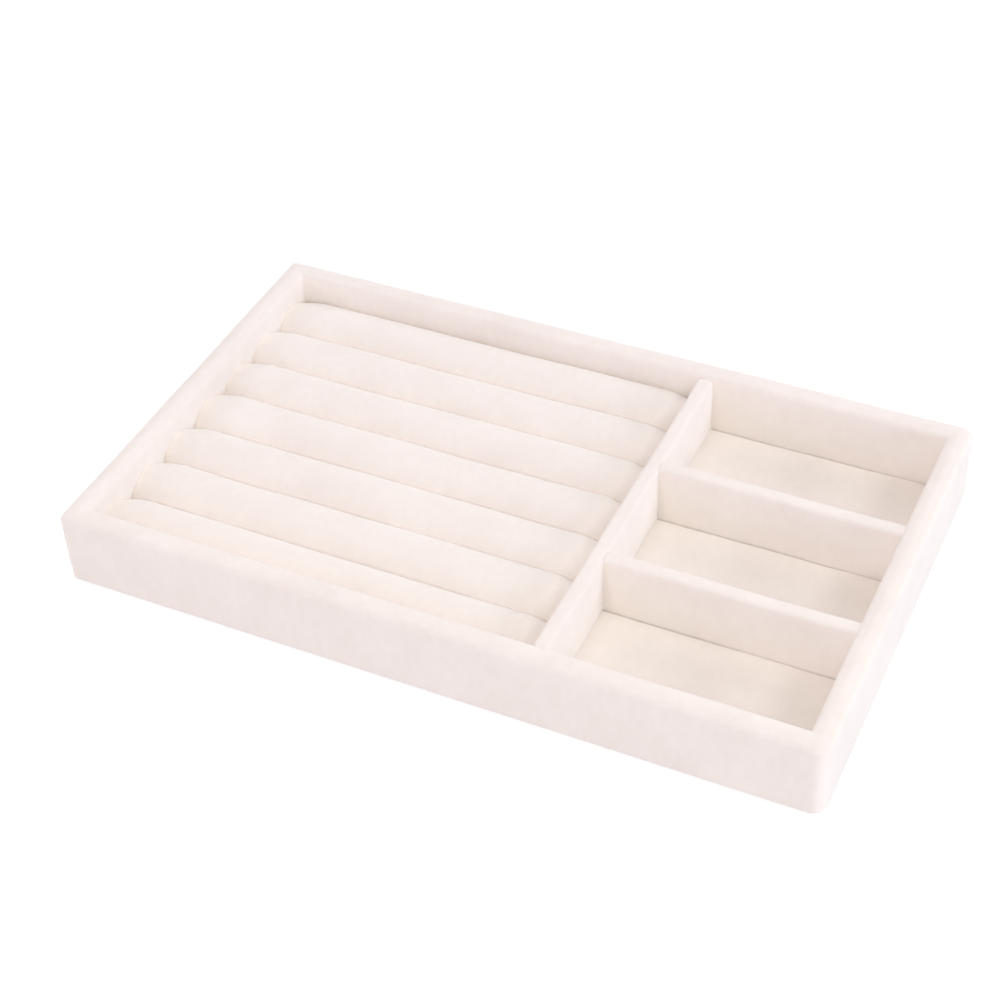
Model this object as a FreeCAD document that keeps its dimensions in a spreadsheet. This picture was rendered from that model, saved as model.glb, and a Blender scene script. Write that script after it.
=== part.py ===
# Velvet-covered jewelry tray: a board carcass under one velvet skin, a ring bay with seven soft
# rolls on the left and three padded compartments on the right. The rolls sit on a card of their
# own, which lifts out of the bay.
# Millimetres. The origin is the middle of the underside, +X runs along the length towards the
# compartments, +Y towards the rear wall and +Z up.
import FreeCAD, Part
import math
import os
import re

import Sketcher

SIZES = {
    # whole tray, over the velvet
    "tray_length": 300.0,
    "tray_width": 180.0,
    "tray_height": 33.0,
    "corner_radius": 4.2,
    "rim_radius": 2.6,
    # cloth and sheet
    "velvet": 0.9,
    "base_sheet": 0.6,
    "sheet_inset": 3.0,
    # carcass boards
    "wall_board": 7.0,
    "board_arris": 1.2,
    "corner_rebate": 3.5,
    "base_board": 2.5,
    "base_rebate": 3.5,
    # dividers
    "divider_board": 4.2,
    "divider_drop": 1.5,
    "divider_top_radius": 1.6,
    "compartment_length": 94.8,
    "front_compartment": 48.9,
    "middle_compartment": 48.4,
    "tongue_height": 12.0,
    "tongue_rise": 7.0,
    "tongue_depth": 2.1,
    "tongue_clearance": 0.1,
    # compartment floor pads
    "pad_card": 1.6,
    "pad_gap": 0.4,
    "pad_edge_radius": 1.2,
    # ring insert
    "insert_clearance": 0.3,
    "insert_card": 1.5,
    "roll_height": 21.5,
    "roll_gap": 0.2,
    "roll_end_radius": 9.0,
}
ROLL_COUNT = 7
# where the sections of a roll's rounded end lie on its quarter circle, in degrees from the end face
END_STATIONS = (0, 45, 90)
TOLERANCE = 1e-6

# derived sizes, written as formulas of the sheet
WALL = "(wall_board + 2 * velvet)"
RIM_ROUND = f"min(rim_radius, 0.47 * {WALL}, 0.95 * corner_radius)"
BOARD_ARRIS = f"max(min(board_arris, 0.3 * wall_board), 0.6 * ({RIM_ROUND} - velvet))"
CAVITY_LENGTH = f"(tray_length - 2 * {WALL})"
CAVITY_WIDTH = f"(tray_width - 2 * {WALL})"
BOARD_FOOT = "(base_sheet + velvet)"
BASE_TOP = f"({BOARD_FOOT} + base_board)"
CARCASS_LENGTH = "(tray_length - 2 * velvet)"
CARCASS_WIDTH = "(tray_width - 2 * velvet)"

DIVIDER = "(divider_board + 2 * velvet)"
DIVIDER_ROUND = f"min(max(divider_top_radius, 1.2 * velvet), 0.47 * {DIVIDER})"
DIVIDER_HEIGHT = f"(tray_height - divider_drop - {BASE_TOP})"
COMPARTMENT_LEFT = f"({CAVITY_LENGTH} / 2 - compartment_length)"
COMPARTMENT_MIDDLE_X = f"({CAVITY_LENGTH} / 2 - compartment_length / 2)"
REAR_COMPARTMENT = f"({CAVITY_WIDTH} - 2 * {DIVIDER} - front_compartment - middle_compartment)"
FRONT_CROSS_Y = f"(-{CAVITY_WIDTH} / 2 + front_compartment + {DIVIDER} / 2)"
REAR_CROSS_Y = f"({FRONT_CROSS_Y} + {DIVIDER} + middle_compartment)"

BAY_LENGTH = f"({CAVITY_LENGTH} - compartment_length - {DIVIDER})"
INSERT_LENGTH = f"({BAY_LENGTH} - 2 * insert_clearance)"
INSERT_WIDTH = f"({CAVITY_WIDTH} - 2 * insert_clearance)"
INSERT_LEFT = f"(-{CAVITY_LENGTH} / 2 + insert_clearance)"
ROLL_WIDTH = f"(({INSERT_WIDTH} - {ROLL_COUNT - 1} * roll_gap) / {ROLL_COUNT})"
ROLL_FOOT = f"({BASE_TOP} + insert_card)"
ROLL_END_ROUND = f"min(roll_end_radius, 0.47 * {ROLL_WIDTH})"

PAD_HEIGHT = "(pad_card + velvet)"
PAD_EDGE_ROUND = f"min(pad_edge_radius, 0.9 * {PAD_HEIGHT})"

doc = FreeCAD.newDocument("JewelryTray")
nodes = []


def fill_sheet():
    """Write every driving size to the sheet, one row each, with its alias."""
    sheet = doc.addObject("Spreadsheet::Sheet", "Sizes")
    for row, (alias, number) in enumerate(SIZES.items(), start=1):
        sheet.set(f"A{row}", alias)
        sheet.set(f"B{row}", str(number))
        sheet.setAlias(f"B{row}", alias)
    doc.recompute()


def size(formula):
    """The formula with each size's name pointing at its cell of the sheet."""
    return re.sub(r"[a-z_]+", lambda word: f"Sizes.{word[0]}" if word[0] in SIZES else word[0], formula)


def place(thing, x, y, z):
    """Tie the place of an object to formulas of the sheet."""
    for axis, formula in (("x", x), ("y", y), ("z", z)):
        thing.setExpression(f"Placement.Base.{axis}", size(formula))


def node(thing, label):
    """Name a finished sub-part, which is then checked and written."""
    thing.Label = label
    nodes.append(thing)
    return thing


def start_sketch(body, name, role):
    """An empty sketch on one of the body's own origin planes."""
    sketch = body.newObject("Sketcher::SketchObject", name)
    plane = next(item for item in body.Origin.OriginFeatures if item.Role == role)
    sketch.AttachmentSupport = (plane, [""])
    sketch.MapMode = "FlatFace"
    return sketch


def close_loop(sketch, count):
    """Join the end of each edge of the outline to the start of the next."""
    for index in range(count):
        sketch.addConstraint(Sketcher.Constraint("Coincident", index, 2, (index + 1) % count, 1))


def rectangle(body, name, length, width):
    """A sketch of a rectangle about the origin, length along X and width along Y."""
    sketch = start_sketch(body, name, "XY_Plane")
    corners = [FreeCAD.Vector(x, y, 0) for x, y in ((-1, -1), (1, -1), (1, 1), (-1, 1))]
    for index, corner in enumerate(corners):
        sketch.addGeometry(Part.LineSegment(corner, corners[(index + 1) % 4]))
    close_loop(sketch, 4)
    for index, direction in enumerate(("Horizontal", "Vertical", "Horizontal", "Vertical")):
        sketch.addConstraint(Sketcher.Constraint(direction, index))
    sketch.addConstraint(Sketcher.Constraint("Symmetric", 0, 1, 1, 2, -1, 1))
    for label, kind, edge, formula in (
        ("length", "DistanceX", 0, length),
        ("width", "DistanceY", 1, width),
    ):
        constraint = sketch.addConstraint(Sketcher.Constraint(kind, edge, 1, edge, 2, 2.0))
        sketch.renameConstraint(constraint, label)
        sketch.setExpression(f"Constraints.{label}", size(formula))
    return sketch


def block(name, length, width, height):
    """A body padded up from a rectangle about the origin."""
    body = doc.addObject("PartDesign::Body", name)
    pad = body.newObject("PartDesign::Pad", f"{name}_pad")
    pad.Profile = rectangle(body, f"{name}_outline", length, width)
    pad.setExpression("Length", size(height))
    doc.recompute()
    return body


def pocket_through(body, name, length, width):
    """Cut a rectangle about the origin right through a padded body."""
    pocket = body.newObject("PartDesign::Pocket", f"{name}_pocket")
    pocket.Profile = rectangle(body, f"{name}_outline", length, width)
    pocket.Type = "ThroughAll"
    pocket.Reversed = True
    doc.recompute()
    assert pocket.Shape.Volume < pocket.BaseFeature.Shape.Volume, f"{name} cuts nothing"


def ease_edges(body, kind, name, extent, chosen):
    """Fillet or chamfer the edges of the body's last feature that the test picks."""
    last = body.Tip
    edges = [f"Edge{i}" for i, edge in enumerate(last.Shape.Edges, start=1) if chosen(edge, last.Shape)]
    feature = body.newObject(f"PartDesign::{kind}", name)
    feature.Base = (last, edges)
    feature.setExpression("Radius" if kind == "Fillet" else "Size", size(extent))
    doc.recompute()


def round_edges(body, name, radius, chosen):
    """Fillet the edges that the test picks."""
    ease_edges(body, "Fillet", name, radius, chosen)


def is_upright(edge, solid):
    """True for a straight edge along Z, as tall as the solid."""
    reach = edge.BoundBox
    tall = reach.ZLength > solid.BoundBox.ZLength - TOLERANCE
    return tall and reach.XLength + reach.YLength < TOLERANCE


def is_on_top(edge, solid):
    """True for an edge that lies in the top face."""
    return edge.BoundBox.ZMin > solid.BoundBox.ZMax - TOLERANCE


def box(name, length, width, height, x, y, z):
    """A box whose sides and lowest corner are formulas of the sheet."""
    solid = doc.addObject("Part::Box", name)
    for side, formula in (("Length", length), ("Width", width), ("Height", height)):
        solid.setExpression(side, size(formula))
    place(solid, x, y, z)
    return solid


def join(kind, name, base, tool):
    """A boolean of two objects: Part::Cut, Part::Fuse or Part::Common."""
    result = doc.addObject(kind, name)
    result.Base = base
    result.Tool = tool
    doc.recompute()
    return result


# Carcass and outer velvet

def wall_ring(name, inset):
    """The four walls as one ring with square top edges, drawn in by an inset from the velvet's outside."""
    body = block(
        name,
        f"tray_length - 2 * {inset}",
        f"tray_width - 2 * {inset}",
        f"tray_height - base_sheet - 2 * {inset}",
    )
    round_edges(body, f"{name}_corners", f"corner_radius - {inset}", is_upright)
    pocket_through(
        body,
        f"{name}_cavity",
        f"{CAVITY_LENGTH} + 2 * {inset}",
        f"{CAVITY_WIDTH} + 2 * {inset}",
    )
    place(body, "0", "0", f"base_sheet + {inset}")
    return body


def make_carcass():
    """Base board and four wall boards: rebated corners, and the base let into the walls' feet."""
    base = block(
        "base_form",
        f"{CAVITY_LENGTH} + 2 * (velvet + base_rebate)",
        f"{CAVITY_WIDTH} + 2 * (velvet + base_rebate)",
        "base_board",
    )
    place(base, "0", "0", BOARD_FOOT)
    node(base, "base_board")
    ring = wall_ring("carcass_ring", "velvet")
    ease_edges(ring, "Chamfer", "board_arrises", BOARD_ARRIS, is_on_top)
    walls = join("Part::Cut", "rebated_walls", ring, base)

    half_length = f"{CARCASS_LENGTH} / 2"
    half_width = f"{CARCASS_WIDTH} / 2"
    boards = []
    for label, outer_y, inner_y in (
        ("front_wall_board", f"-{half_width}", f"-{half_width} + corner_rebate"),
        ("rear_wall_board", f"{half_width} - corner_rebate", f"{half_width} - wall_board"),
    ):
        outer = box(
            f"{label}_outer", CARCASS_LENGTH, "corner_rebate", "tray_height",
            f"-{half_length}", outer_y, BOARD_FOOT,
        )
        inner = box(
            f"{label}_inner", f"{CARCASS_LENGTH} - 2 * wall_board", "wall_board - corner_rebate",
            "tray_height", f"-{half_length} + wall_board", inner_y, BOARD_FOOT,
        )
        zone = join("Part::Fuse", f"{label}_zone", outer, inner)
        boards.append(node(join("Part::Common", f"{label}_part", walls, zone), label))
    for label, left in (
        ("left_wall_board", f"-{half_length}"),
        ("right_wall_board", f"{half_length} - wall_board"),
    ):
        zone = box(
            f"{label}_zone", "wall_board", f"{CARCASS_WIDTH} - 2 * corner_rebate", "tray_height",
            left, f"-{half_width} + corner_rebate", BOARD_FOOT,
        )
        boards.append(node(join("Part::Common", f"{label}_part", walls, zone), label))
    return base, boards


def make_outer_wrap(base, boards):
    """One velvet skin over the walls, turned under their feet and down to the base inside."""
    carcass = doc.addObject("Part::MultiFuse", "carcass")
    carcass.Shapes = [base] + boards
    doc.recompute()
    ring = wall_ring("wrap_ring", "0")
    round_edges(ring, "rim", RIM_ROUND, is_on_top)
    node(join("Part::Cut", "wrap", ring, carcass), "outer_wrap")


def make_base_sheet():
    """Thin felt sheet under the tray, over the velvet's turned edges."""
    sheet = block("sheet_form", "tray_length - 2 * sheet_inset", "tray_width - 2 * sheet_inset", "base_sheet")
    round_edges(sheet, "sheet_corners", "corner_radius", is_upright)
    node(sheet, "base_sheet")


# Dividers

def divider_form(name, length, inset, long_axis):
    """An upright strip with a rounded top, drawn in by an inset from the velvet's outside."""
    thick = f"{DIVIDER} - 2 * {inset}"
    sides = (thick, length) if long_axis == "Y" else (length, thick)
    body = block(name, *sides, f"{DIVIDER_HEIGHT} - {inset}")

    def is_long_top(edge, solid):
        run = edge.BoundBox.YLength if long_axis == "Y" else edge.BoundBox.XLength
        span = solid.BoundBox.YLength if long_axis == "Y" else solid.BoundBox.XLength
        return is_on_top(edge, solid) and run > 0.9 * span

    round_edges(body, f"{name}_top", f"{DIVIDER_ROUND} - {inset}", is_long_top)
    return body


def tongue_box(name, y, clearance):
    """The tongue on a cross divider's left end, or with a clearance the mortise that takes it."""
    return box(
        name,
        "tongue_depth + velvet",
        f"divider_board + 2 * {clearance}",
        f"tongue_height + 2 * {clearance}",
        f"{COMPARTMENT_LEFT} - tongue_depth - velvet",
        f"{y} - divider_board / 2 - {clearance}",
        f"{BASE_TOP} + tongue_rise - {clearance}",
    )


def make_dividers():
    """The long divider between ring bay and compartments, and two cross dividers tongued into it."""
    long_x = f"{COMPARTMENT_LEFT} - {DIVIDER} / 2"
    long_outside = divider_form("long_outside", CAVITY_WIDTH, "0", "Y")
    long_inside = divider_form("long_inside", CAVITY_WIDTH, "velvet", "Y")
    for body in (long_outside, long_inside):
        place(body, long_x, "0", BASE_TOP)
    long_board = long_inside
    long_velvet = join("Part::Cut", "long_skin", long_outside, long_inside)

    for label, y in (("rear_cross", REAR_CROSS_Y), ("front_cross", FRONT_CROSS_Y)):
        outside = divider_form(f"{label}_outside", "compartment_length", "0", "X")
        inside = divider_form(f"{label}_inside", "compartment_length", "velvet", "X")
        for body in (outside, inside):
            place(body, COMPARTMENT_MIDDLE_X, y, BASE_TOP)
        tongue = tongue_box(f"{label}_tongue", y, "0")
        node(join("Part::Fuse", f"{label}_tongued", inside, tongue), f"{label}_board")
        node(join("Part::Cut", f"{label}_skin", outside, inside), f"{label}_velvet")
        mortise = tongue_box(f"{label}_mortise", y, "tongue_clearance")
        long_board = join("Part::Cut", f"{label}_mortised", long_board, mortise)
        long_velvet = join("Part::Cut", f"{label}_slit", long_velvet, mortise)
    node(long_board, "long_divider_board")
    node(long_velvet, "long_divider_velvet")


# Compartment floors

def make_floor_pads():
    """A card with velvet drawn over its top and edges, lying in each compartment."""
    front_y = f"(-{CAVITY_WIDTH} / 2 + front_compartment / 2)"
    middle_y = f"({FRONT_CROSS_Y} + {DIVIDER} / 2 + middle_compartment / 2)"
    rear_y = f"({CAVITY_WIDTH} / 2 - {REAR_COMPARTMENT} / 2)"
    for label, y, depth in (
        ("rear_pad", rear_y, REAR_COMPARTMENT),
        ("middle_pad", middle_y, "middle_compartment"),
        ("front_pad", front_y, "front_compartment"),
    ):
        length = "compartment_length - 2 * pad_gap"
        width = f"{depth} - 2 * pad_gap"
        card = block(f"{label}_core", f"{length} - 2 * velvet", f"{width} - 2 * velvet", "pad_card")
        cover = block(f"{label}_outside", length, width, PAD_HEIGHT)
        round_edges(cover, f"{label}_edge", PAD_EDGE_ROUND, is_on_top)
        for body in (card, cover):
            place(body, COMPARTMENT_MIDDLE_X, y, BASE_TOP)
        node(card, f"{label}_card")
        node(join("Part::Cut", f"{label}_skin", cover, card), f"{label}_velvet")


# Ring insert

def arch(body, name, width, height, station):
    """A sketch of a roll's section: flat foot, upright sides and a round crown in two quarter arcs."""
    sketch = start_sketch(body, name, "YZ_Plane")
    sketch.setExpression("AttachmentOffset.Base.z", size(station))
    foot, right, crown_right, crown_left, left = range(5)
    corner = [FreeCAD.Vector(x, y, 0) for x, y in ((-1, 0), (1, 0), (1, 1), (-1, 1))]
    crown = Part.Circle(FreeCAD.Vector(0, 1, 0), FreeCAD.Vector(0, 0, 1), 1)
    quarter = math.pi / 2
    sketch.addGeometry(Part.LineSegment(corner[0], corner[1]))
    sketch.addGeometry(Part.LineSegment(corner[1], corner[2]))
    sketch.addGeometry(Part.ArcOfCircle(crown, 0, quarter))
    sketch.addGeometry(Part.ArcOfCircle(crown, quarter, 2 * quarter))
    sketch.addGeometry(Part.LineSegment(corner[3], corner[0]))
    close_loop(sketch, 5)
    sketch.addConstraint(Sketcher.Constraint("Horizontal", foot))
    sketch.addConstraint(Sketcher.Constraint("Vertical", right))
    sketch.addConstraint(Sketcher.Constraint("Vertical", left))
    sketch.addConstraint(Sketcher.Constraint("PointOnObject", foot, 1, -1))
    sketch.addConstraint(Sketcher.Constraint("Coincident", crown_right, 3, crown_left, 3))
    sketch.addConstraint(Sketcher.Constraint("PointOnObject", crown_right, 3, -2))
    sketch.addConstraint(Sketcher.Constraint("PointOnObject", crown_right, 2, -2))
    sketch.addConstraint(Sketcher.Constraint("Horizontal", right, 2, crown_right, 3))
    sketch.addConstraint(Sketcher.Constraint("Horizontal", left, 1, crown_right, 3))
    across = sketch.addConstraint(Sketcher.Constraint("DistanceX", foot, 1, foot, 2, 2.0))
    upward = sketch.addConstraint(Sketcher.Constraint("DistanceY", -1, 1, crown_right, 2, 2.0))
    for constraint, label, formula in ((across, "width", width), (upward, "height", height)):
        sketch.renameConstraint(constraint, label)
        sketch.setExpression(f"Constraints.{label}", size(formula))
    return sketch


def roll_form(name, inset, y):
    """A bolster with a round crown and drawn-in ends, inset from the velvet's outside."""
    body = doc.addObject("PartDesign::Body", name)
    end = f"({ROLL_END_ROUND} - {inset})"
    length = f"({INSERT_LENGTH} - 2 * {inset})"
    ends = {"left": [], "right": []}
    for angle in END_STATIONS:
        drawn_in = f"({inset} + {end} * (1 - sin({angle} deg)))"
        width = f"{ROLL_WIDTH} - 2 * {drawn_in}"
        height = f"roll_height - {drawn_in}"
        from_face = f"{end} * (1 - cos({angle} deg))"
        for side, station in (("left", from_face), ("right", f"{length} - {from_face}")):
            ends[side].append(arch(body, f"{name}_{side}_{angle}", width, height, station))

    pad = body.newObject("PartDesign::Pad", f"{name}_pad")
    pad.Profile = ends["left"][-1]
    pad.setExpression("Length", size(f"{length} - 2 * {end}"))
    doc.recompute()
    for side, sections in ends.items():
        loft = body.newObject("PartDesign::AdditiveLoft", f"{name}_{side}_end")
        loft.Profile = sections[0]
        loft.Sections = sections[1:]
        loft.Ruled = True
        doc.recompute()
    place(body, f"{INSERT_LEFT} + {inset}", y, ROLL_FOOT)
    return body


def make_ring_insert():
    """The card and the seven foam rolls with their velvet sleeves, numbered from the rear wall."""
    card = block("insert_form", INSERT_LENGTH, INSERT_WIDTH, "insert_card")
    place(card, f"{INSERT_LEFT} + {INSERT_LENGTH} / 2", "0", BASE_TOP)
    node(card, "ring_insert_card")
    for number in range(1, ROLL_COUNT + 1):
        y = f"{INSERT_WIDTH} / 2 - {ROLL_WIDTH} / 2 - {number - 1} * ({ROLL_WIDTH} + roll_gap)"
        outside = roll_form(f"roll_{number}_outside", "0", y)
        core = roll_form(f"roll_{number}_inside", "velvet", y)
        node(core, f"ring_roll_core_{number}")
        node(join("Part::Cut", f"roll_{number}_skin", outside, core), f"ring_roll_velvet_{number}")


def check_and_write():
    """Stop on any failed object or bad shape, then write one file for each sub-part."""
    doc.recompute()
    for thing in doc.Objects:
        assert not {"Invalid", "Error"} & set(thing.State), f"{thing.Label}: {thing.State}"
    for part in nodes:
        shape = part.Shape
        assert not shape.isNull() and shape.isValid() and shape.Solids, part.Label
    os.makedirs("parts", exist_ok=True)
    for part in nodes:
        part.Shape.exportStep(f"parts/{part.Label}.step")
        print(f"{part.Label}: {len(part.Shape.Solids)} solid, {part.Shape.Volume:.1f} mm3")


fill_sheet()
make_base_sheet()
make_outer_wrap(*make_carcass())
make_dividers()
make_floor_pads()
make_ring_insert()
check_and_write()
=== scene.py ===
"""Ivory velvet jewelry tray: seven ring rolls beside three compartments, dressed round its solids."""

import logging
import math
from abc import ABC, abstractmethod
from dataclasses import dataclass
from enum import Enum

import bpy
import numpy as np
from mathutils import Matrix, Vector


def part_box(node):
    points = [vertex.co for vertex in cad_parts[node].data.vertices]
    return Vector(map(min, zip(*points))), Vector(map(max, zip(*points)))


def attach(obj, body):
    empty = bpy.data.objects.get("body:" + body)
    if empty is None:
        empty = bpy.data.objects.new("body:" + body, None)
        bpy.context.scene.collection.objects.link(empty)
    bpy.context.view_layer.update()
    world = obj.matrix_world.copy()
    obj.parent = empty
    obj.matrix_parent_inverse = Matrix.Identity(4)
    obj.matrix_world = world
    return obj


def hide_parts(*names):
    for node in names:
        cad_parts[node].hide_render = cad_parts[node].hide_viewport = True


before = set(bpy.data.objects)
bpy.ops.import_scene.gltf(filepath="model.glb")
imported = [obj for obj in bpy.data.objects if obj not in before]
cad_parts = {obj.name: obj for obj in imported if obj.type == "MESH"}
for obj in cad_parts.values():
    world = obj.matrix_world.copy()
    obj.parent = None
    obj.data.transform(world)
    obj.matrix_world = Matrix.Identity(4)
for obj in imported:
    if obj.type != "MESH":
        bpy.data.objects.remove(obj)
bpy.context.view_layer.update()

MM = 0.001
SHARP_ANGLE = 55
ROLL_COUNT = 7
log = logging.getLogger("jewelry_tray")

Colour = tuple[float, float, float]
Place = tuple[float, float, float]
Triple = tuple[float, float, float]
Pair = tuple[float, float]
Point2 = tuple[float, float]
Counts = tuple[int, int, int]
Corners = tuple[float, float, float, float]
Sides = tuple[float, float, float, float]


class Slot(Enum):
    """Material slots that the finishes fall into."""

    VELVET = "velvet"
    FELT = "felt"
    FIBREBOARD = "fibreboard"
    CARD = "card"
    FOAM = "foam"


class Body(Enum):
    """Bodies that the pieces ride on."""

    TRAY = "tray"
    RING_INSERT = "ring_insert"


class Run(Enum):
    """Direction that a divider's length takes."""

    ALONG_X = 0
    ALONG_Y = 1


class Tint(Enum):
    """Colours of the lamps' light."""

    PLAIN = (1.0, 1.0, 1.0)
    WARM = (1.08, 1.0, 0.92)
    COOL = (1.0, 1.0, 1.12)
    ROSE = (1.12, 1.0, 1.10)
    MAUVE = (1.01, 0.95, 1.20)


class Ends(Enum):
    """How the first and last rows of a lofted surface are closed."""

    OPEN = "open"
    CAPPED = "capped"
    ZIPPED = "zipped"


class ShaderTree:
    """Node tree of one material, with the kinds of node that the finishes share."""

    def __init__(self, name: str) -> None:
        """Starts a material with a bare surface shader.

        Args:
            name: the material's name.
        """
        self.material = bpy.data.materials.new(name)
        self.material.use_nodes = True
        self.nodes = self.material.node_tree.nodes
        self.links = self.material.node_tree.links
        self.surface = self.nodes["Principled BSDF"]
        self.place = self.nodes.new("ShaderNodeTexCoord").outputs["Object"]

    def plain(self, values: dict[str, float | tuple[float, ...]]) -> None:
        """Sets values that are the same all over the surface.

        Args:
            values: socket names of the surface shader and their values.
        """
        for socket, value in values.items():
            self.surface.inputs[socket].default_value = value

    def noise(
        self, grain: float, detail: float, stretch: Triple = (1.0, 1.0, 1.0)
    ) -> bpy.types.NodeSocket:
        """Adds a noise whose spots are about one grain wide.

        Args:
            grain: width of a spot, in metres.
            detail: octaves of finer noise.
            stretch: how many times as long a spot is along each axis.

        Returns:
            The noise's factor.
        """
        mapping = self.nodes.new("ShaderNodeMapping")
        mapping.inputs["Scale"].default_value = [1.0 / (grain * s) for s in stretch]
        texture = self.nodes.new("ShaderNodeTexNoise")
        texture.inputs["Scale"].default_value = 1.0
        texture.inputs["Detail"].default_value = detail
        self.links.new(self.place, mapping.inputs["Vector"])
        self.links.new(mapping.outputs["Vector"], texture.inputs["Vector"])
        return texture.outputs[0]

    def mixed(self, *shares: tuple[bpy.types.NodeSocket, float]) -> bpy.types.NodeSocket:
        """Adds factors up by their shares.

        Args:
            shares: each factor with its share of the whole.

        Returns:
            The weighted sum.
        """
        total = None
        for factor, share in shares:
            step = self.nodes.new("ShaderNodeMath")
            step.operation = "MULTIPLY_ADD"
            step.inputs[1].default_value = share
            step.inputs[2].default_value = 0.0
            self.links.new(factor, step.inputs[0])
            if total is not None:
                self.links.new(total, step.inputs[2])
            total = step.outputs[0]
        return total

    def tint(self, factor: bpy.types.NodeSocket, low: Colour, high: Colour, reach: Pair) -> None:
        """Colours the surface between two tints.

        Args:
            factor: what chooses between the tints.
            low: colour at the low end.
            high: colour at the high end.
            reach: the factor's values at the two ends.
        """
        ramp = self.nodes.new("ShaderNodeValToRGB")
        for element, place, colour in zip(ramp.color_ramp.elements, reach, (low, high)):
            element.position = place
            element.color = (*colour, 1.0)
        self.links.new(factor, ramp.inputs["Fac"])
        self.links.new(ramp.outputs["Color"], self.surface.inputs["Base Color"])

    def roughen(self, factor: bpy.types.NodeSocket, reach: Pair) -> None:
        """Varies the roughness between two values.

        Args:
            factor: a factor from 0 to 1.
            reach: roughness at 0 and at 1.
        """
        spread = self.nodes.new("ShaderNodeMapRange")
        spread.inputs["To Min"].default_value, spread.inputs["To Max"].default_value = reach
        self.links.new(factor, spread.inputs["Value"])
        self.links.new(spread.outputs["Result"], self.surface.inputs["Roughness"])

    def raise_by(self, height: bpy.types.NodeSocket, depth: float, strength: float) -> None:
        """Gives the surface a fine relief.

        Args:
            height: relief from 0 to 1.
            depth: depth of the whole relief, in metres.
            strength: how much of it shows.
        """
        bump = self.nodes.new("ShaderNodeBump")
        bump.inputs["Distance"].default_value = depth
        bump.inputs["Strength"].default_value = strength
        self.links.new(height, bump.inputs["Height"])
        self.links.new(bump.outputs["Normal"], self.surface.inputs["Normal"])


class Finish(ABC):
    """What every finish offers: its name, its slot and its material."""

    name: str
    slot: Slot

    @abstractmethod
    def make(self) -> bpy.types.Material:
        """Makes the finish's material."""

    def material(self) -> bpy.types.Material:
        """Returns the finish's material, made once."""
        return bpy.data.materials.get(self.name) or self.make()


@dataclass(frozen=True)
class Velvet(Finish):
    """Short-pile ivory velvet with brushed nap, fine grain and a pale bloom at grazing light."""

    name: str = "ivory_velvet"
    brushed_down: Colour = (0.940, 0.896, 0.846)
    brushed_up: Colour = (0.978, 0.942, 0.898)
    nap_patch: float = 22 * MM
    nap_streak: float = 2.6 * MM
    streak_stretch: Triple = (1.0, 1.7, 2.4)
    nap_mix: Triple = (0.45, 0.30, 0.25)
    nap_range: Pair = (0.34, 0.62)
    pile_grain: float = 0.32 * MM
    pile_depth: float = 0.22 * MM
    pile_mix: Pair = (0.75, 0.25)
    pile_relief: float = 0.6
    roughness: Pair = (0.86, 1.0)
    gloss: float = 0.12
    bloom: float = 0.06
    bloom_roughness: float = 0.42
    bloom_tint: Colour = (1.0, 0.965, 0.94)
    slot: Slot = Slot.VELVET

    def make(self) -> bpy.types.Material:
        """Makes the velvet's material.

        Returns:
            The material.
        """
        tree = ShaderTree(self.name)
        patches = tree.noise(self.nap_patch, 2.0)
        streaks = tree.noise(self.nap_streak, 2.0, self.streak_stretch)
        pile = tree.noise(self.pile_grain, 1.0)
        nap = tree.mixed(*zip((patches, streaks, pile), self.nap_mix))
        tree.tint(nap, self.brushed_down, self.brushed_up, self.nap_range)
        tree.roughen(pile, self.roughness)
        fibres = tree.mixed(*zip((pile, streaks), self.pile_mix))
        tree.raise_by(fibres, self.pile_depth, self.pile_relief)
        tree.plain({
            "Diffuse Roughness": 1.0,
            "Specular IOR Level": self.gloss,
            "Sheen Weight": self.bloom,
            "Sheen Roughness": self.bloom_roughness,
            "Sheen Tint": (*self.bloom_tint, 1.0),
        })
        return tree.material


@dataclass(frozen=True)
class Felt(Finish):
    """Pressed ivory felt under the tray, with loose fibres and a few darker flecks."""

    name: str = "base_felt"
    fibre_shadow: Colour = (0.640, 0.560, 0.500)
    fibre_light: Colour = (0.800, 0.725, 0.665)
    fibre: float = 0.7 * MM
    fibre_stretch: float = 5.0
    cloud: float = 14 * MM
    fibre_mix: Triple = (0.38, 0.38, 0.24)
    fibre_range: Pair = (0.36, 0.60)
    roughness: Pair = (0.88, 1.0)
    depth: float = 0.22 * MM
    relief: float = 0.6
    gloss: float = 0.1
    bloom: float = 0.15
    bloom_roughness: float = 0.5
    slot: Slot = Slot.FELT

    def make(self) -> bpy.types.Material:
        """Makes the felt's material.

        Returns:
            The material.
        """
        tree = ShaderTree(self.name)
        lengthwise = tree.noise(self.fibre, 3.0, (self.fibre_stretch, 1.0, 1.0))
        crosswise = tree.noise(self.fibre, 3.0, (1.0, self.fibre_stretch, 1.0))
        cloud = tree.noise(self.cloud, 2.0)
        mat = tree.mixed(*zip((lengthwise, crosswise, cloud), self.fibre_mix))
        tree.tint(mat, self.fibre_shadow, self.fibre_light, self.fibre_range)
        tree.roughen(lengthwise, self.roughness)
        tree.raise_by(mat, self.depth, self.relief)
        tree.plain({
            "Diffuse Roughness": 1.0,
            "Specular IOR Level": self.gloss,
            "Sheen Weight": self.bloom,
            "Sheen Roughness": self.bloom_roughness,
        })
        return tree.material


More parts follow.
